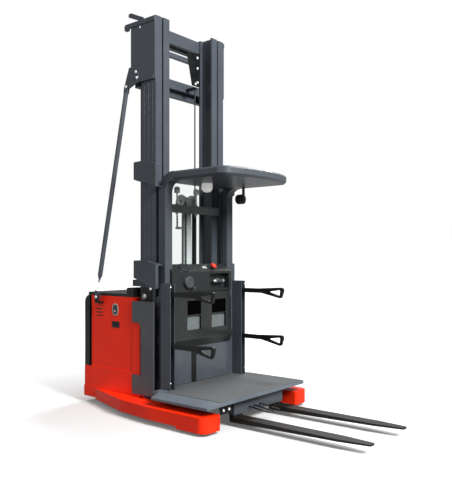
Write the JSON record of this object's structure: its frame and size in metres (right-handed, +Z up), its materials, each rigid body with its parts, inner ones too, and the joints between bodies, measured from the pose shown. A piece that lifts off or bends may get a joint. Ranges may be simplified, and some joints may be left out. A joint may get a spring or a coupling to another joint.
{
  "type": "order picker truck",
  "caption": "High-level order picker truck: two-stage mast on a chassis with straddle legs, climbing operator cab with overhead guard, gate arms and forks.",
  "frame": {"origin": "on the floor, under the middle of the truck's overall box", "axes": "+X forward to the fork tips, +Y to the truck's left, +Z up"},
  "size_m": [2.963, 1.5096, 3.664],
  "materials": {
    "red_paint": "semi-gloss red paint",
    "mast_grey": "satin slate grey paint",
    "cab_grey": "satin slate grey paint",
    "stay_grey": "satin grey paint",
    "bare_steel": "machined steel",
    "black_paint": "satin black paint",
    "battery_case": "painted steel battery case",
    "motor_grey": "painted cast motor",
    "black_plastic": "grained black plastic",
    "cast_grey": "cast iron",
    "drive_tread": "solid polyurethane",
    "wheel_tread": "solid polyurethane",
    "chrome_rod": "ground chrome rod",
    "cylinder_grey": "light grey paint",
    "chain_steel": "oiled chain steel",
    "hose_rubber": "black hydraulic hose",
    "lamp_white": "white diffuser",
    "console_black": "moulded dark plastic",
    "control_grey": "moulded grey plastic",
    "panel_grey": "satin grey paint",
    "clear_glass": "clear safety glass",
    "floor_mat": "ribbed grey rubber mat",
    "fork_black": "black painted steel",
    "arm_black": "black powder coat"
  },
  "bodies": {
    "truck": {"chassis": "red_paint", "right_leg": "red_paint", "left_leg": "red_paint", "outer_rails": "mast_grey", "outer_mast_ties": "mast_grey", "mast_side_covers": "mast_grey", "lift_cylinders": "mast_grey", "outer_rollers": "bare_steel", "stay_lug": "black_paint", "stay_rod": "stay_grey", "battery": "battery_case", "drive_motor": "motor_grey", "black_trims": "black_plastic"},
    "lid": {"battery_lid": "black_plastic"},
    "steer": {"steer_yoke": "cast_grey"},
    "drive_wheel": {"drive_tyre": "drive_tread", "drive_hub": "cast_grey"},
    "right_rear_wheel": {"right_rear_load_wheel": "wheel_tread"},
    "right_front_wheel": {"right_front_load_wheel": "wheel_tread"},
    "left_rear_wheel": {"left_rear_load_wheel": "wheel_tread"},
    "left_front_wheel": {"left_front_load_wheel": "wheel_tread"},
    "inner_mast": {"inner_rails": "mast_grey", "inner_crossbars": "mast_grey", "inner_rollers": "bare_steel", "lift_rods": "chrome_rod", "free_lift_cylinder": "cylinder_grey", "hose_bracket": "black_paint"},
    "head": {"lift_head": "bare_steel", "lift_sheaves": "bare_steel", "rear_chains": "chain_steel"},
    "cab": {"front_chains": "chain_steel", "hose": "hose_rubber", "carriage": "mast_grey", "cab_posts": "cab_grey", "overhead_guard": "cab_grey", "guard_dome": "lamp_white", "work_lamp": "black_plastic", "console": "console_black", "console_controls": "control_grey", "lower_panel": "panel_grey", "cab_glass": "clear_glass", "mast_ears": "cab_grey", "arm_posts": "cab_grey", "floor": "floor_mat", "floor_frame": "cab_grey", "right_fork": "fork_black", "left_fork": "fork_black"},
    "right_upper_gate": {"right_upper_arm": "arm_black"},
    "right_lower_gate": {"right_lower_arm": "arm_black"},
    "left_upper_gate": {"left_upper_arm": "arm_black"},
    "left_lower_gate": {"left_lower_arm": "arm_black"}
  },
  "joints": [
    {"name": "mast_lift", "type": "slide", "parent": "truck", "child": "inner_mast", "axis": [0, 0, 1], "range_m": [0, 2.6]},
    {"name": "cab_lift", "type": "slide", "parent": "inner_mast", "child": "cab", "axis": [0, 0, 1], "range_m": [0, 1.8], "deforming": ["front_chains", "hose"]},
    {"name": "head_lift", "type": "slide", "parent": "inner_mast", "child": "head", "axis": [0, 0, 1], "range_m": [0, 0.9], "deforming": ["rear_chains"]},
    {"name": "drive_steer", "type": "hinge", "parent": "truck", "child": "steer", "pos_m": [-1.2835, 0, 0.15], "axis": [0, 0, 1], "range_deg": [-90, 90]},
    {"name": "drive_spin", "type": "hinge", "parent": "steer", "child": "drive_wheel", "pos_m": [-1.2835, 0, 0.15], "axis": [0, 1, 0], "continuous": true},
    {"name": "lid_swing", "type": "hinge", "parent": "truck", "child": "lid", "pos_m": [-0.8758, 0, 1.0826], "axis": [0, 1, 0], "range_deg": [0, 75]},
    {"name": "right_rear_spin", "type": "hinge", "parent": "truck", "child": "right_rear_wheel", "pos_m": [0.0685, -0.65, 0.06], "axis": [0, 1, 0], "continuous": true},
    {"name": "right_front_spin", "type": "hinge", "parent": "truck", "child": "right_front_wheel", "pos_m": [0.1985, -0.65, 0.06], "axis": [0, 1, 0], "continuous": true},
    {"name": "right_upper_swing", "type": "hinge", "parent": "cab", "child": "right_upper_gate", "pos_m": [-0.3365, -0.5, 1.088], "axis": [0, -1, 0], "range_deg": [0, 70]},
    {"name": "right_lower_swing", "type": "hinge", "parent": "cab", "child": "right_lower_gate", "pos_m": [-0.3365, -0.5, 0.638], "axis": [0, -1, 0], "range_deg": [0, 70]},
    {"name": "left_rear_spin", "type": "hinge", "parent": "truck", "child": "left_rear_wheel", "pos_m": [0.0685, 0.65, 0.06], "axis": [0, 1, 0], "continuous": true},
    {"name": "left_front_spin", "type": "hinge", "parent": "truck", "child": "left_front_wheel", "pos_m": [0.1985, 0.65, 0.06], "axis": [0, 1, 0], "continuous": true},
    {"name": "left_upper_swing", "type": "hinge", "parent": "cab", "child": "left_upper_gate", "pos_m": [-0.3365, 0.5, 1.088], "axis": [0, -1, 0], "range_deg": [0, 70]},
    {"name": "left_lower_swing", "type": "hinge", "parent": "cab", "child": "left_lower_gate", "pos_m": [-0.3365, 0.5, 0.638], "axis": [0, -1, 0], "range_deg": [0, 70]}
  ],
  "couplings": [
    {"joint": "head_lift", "follows": "cab_lift", "ratio": 0.5},
    {"joint": "right_lower_swing", "follows": "right_upper_swing", "ratio": 1},
    {"joint": "left_lower_swing", "follows": "left_upper_swing", "ratio": 1}
  ]
}
